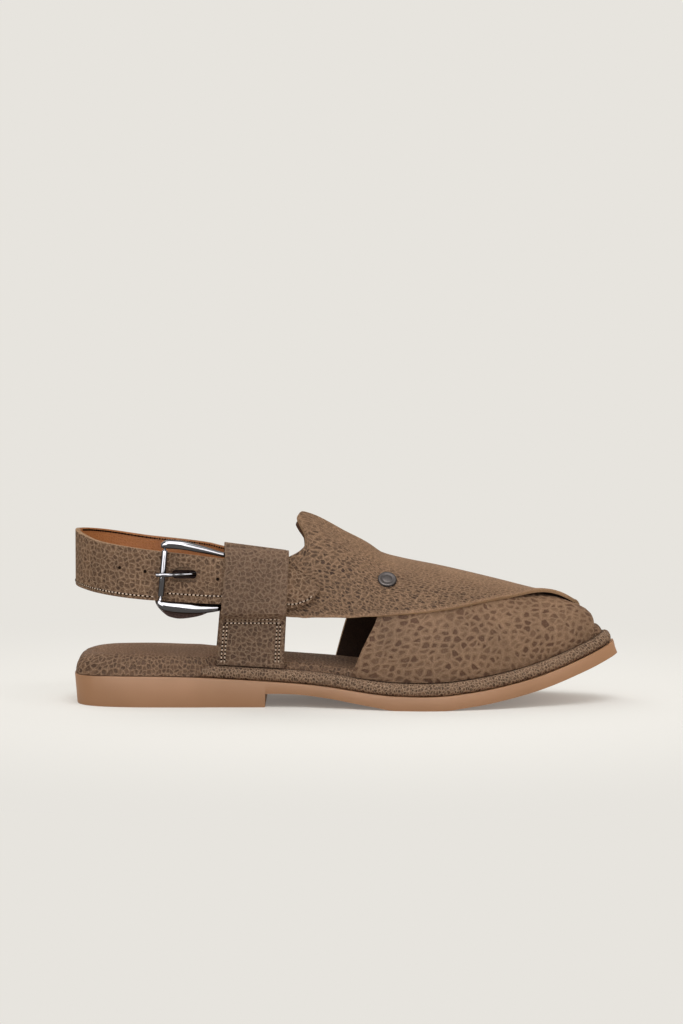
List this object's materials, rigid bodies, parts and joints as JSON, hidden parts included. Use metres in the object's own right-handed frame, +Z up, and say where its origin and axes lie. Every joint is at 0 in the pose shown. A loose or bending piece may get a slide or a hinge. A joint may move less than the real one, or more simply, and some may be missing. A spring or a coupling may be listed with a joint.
{
  "type": "peshawari chappal sandal",
  "caption": "Right leather sandal with two straps crossed over the forefoot, side loops, a buckled heel strap, a padded insole and a low-heeled rubber sole.",
  "frame": {"origin": "middle of the shoe's box, on the floor under the sole", "axes": "+X towards the toe, +Z up, -Y the outer side of this right shoe"},
  "size_m": [0.288, 0.0976, 0.1013],
  "materials": {
    "sole_rubber": "satin moulded rubber",
    "wrapped_edge": "fine granular leather",
    "insole_leather": "crackled matte leather",
    "upper_leather": "pebbled nubuck leather",
    "strap_leather": "milled matte leather",
    "dark_leather": "dark matte leather",
    "gunmetal": "polished black nickel"
  },
  "bodies": {
    "root": {"outsole": "sole_rubber", "platform": "wrapped_edge", "padded_insole": "insole_leather", "crossed_upper": "upper_leather", "lateral_keeper": "strap_leather", "medial_keeper": "strap_leather", "heel_strap": "strap_leather", "buckle_tab": "dark_leather", "buckle_frame": "gunmetal", "buckle_roller": "gunmetal", "buckle_prong": "gunmetal", "side_stud": "gunmetal"}
  },
  "joints": []
}
